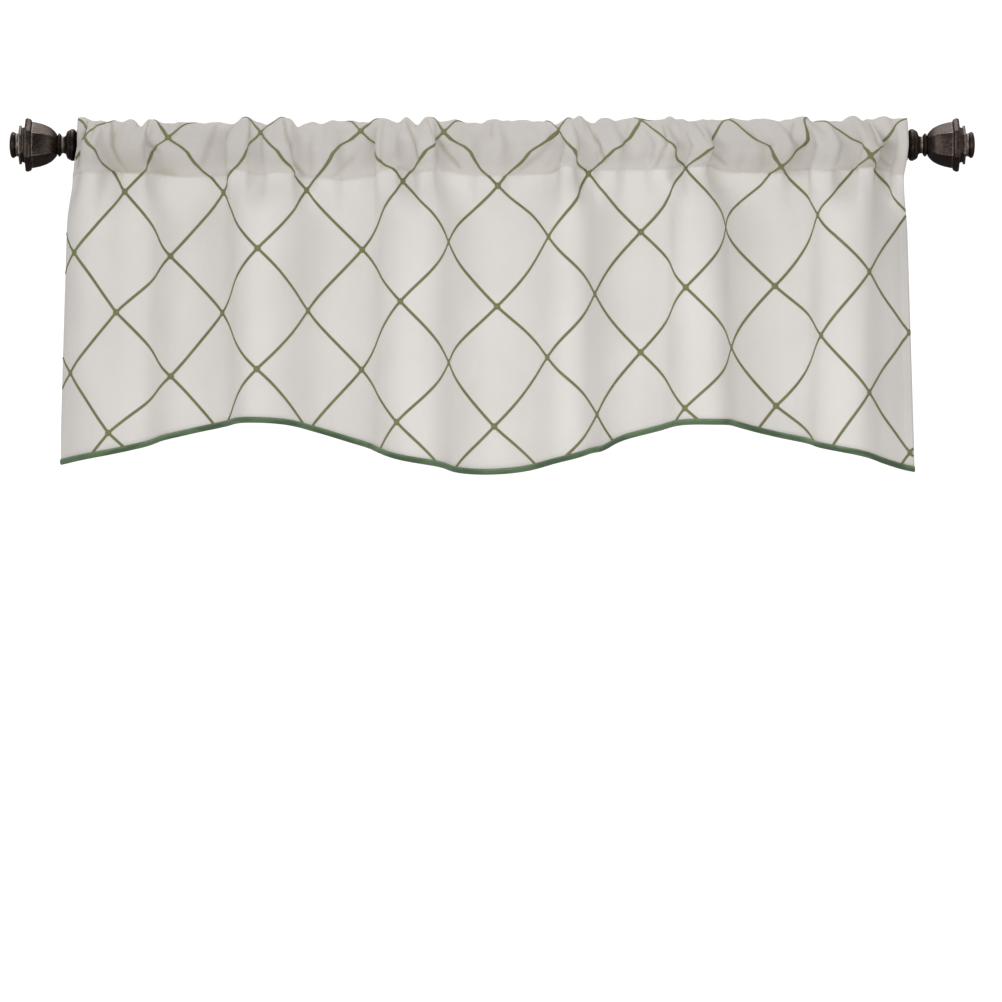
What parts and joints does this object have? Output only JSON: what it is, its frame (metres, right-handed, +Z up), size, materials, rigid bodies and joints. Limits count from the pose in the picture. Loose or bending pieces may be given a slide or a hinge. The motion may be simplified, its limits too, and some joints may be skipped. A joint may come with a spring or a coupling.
{
  "type": "window valance on curtain rod",
  "caption": "Off-white window valance with an embroidered trellis and a bound, scalloped hem, gathered by its rod pocket on a curtain rod with bronze finials.",
  "frame": {"origin": "middle of the rod's axis", "axes": "+X along the rod, to the right as seen from the room; -Y towards the room; +Z up"},
  "size_m": [1.2066, 0.1071, 0.4493],
  "materials": {
    "cloth": "matt plain weave, off-white",
    "binding": "matt twill, sage green",
    "rod_metal": "satin dark bronze",
    "bronze": "satin oil-rubbed bronze"
  },
  "bodies": {
    "root": {"valance": "cloth", "hem_binding": "binding", "rod": "rod_metal", "finial_left": "bronze", "finial_right": "bronze"}
  },
  "joints": []
}
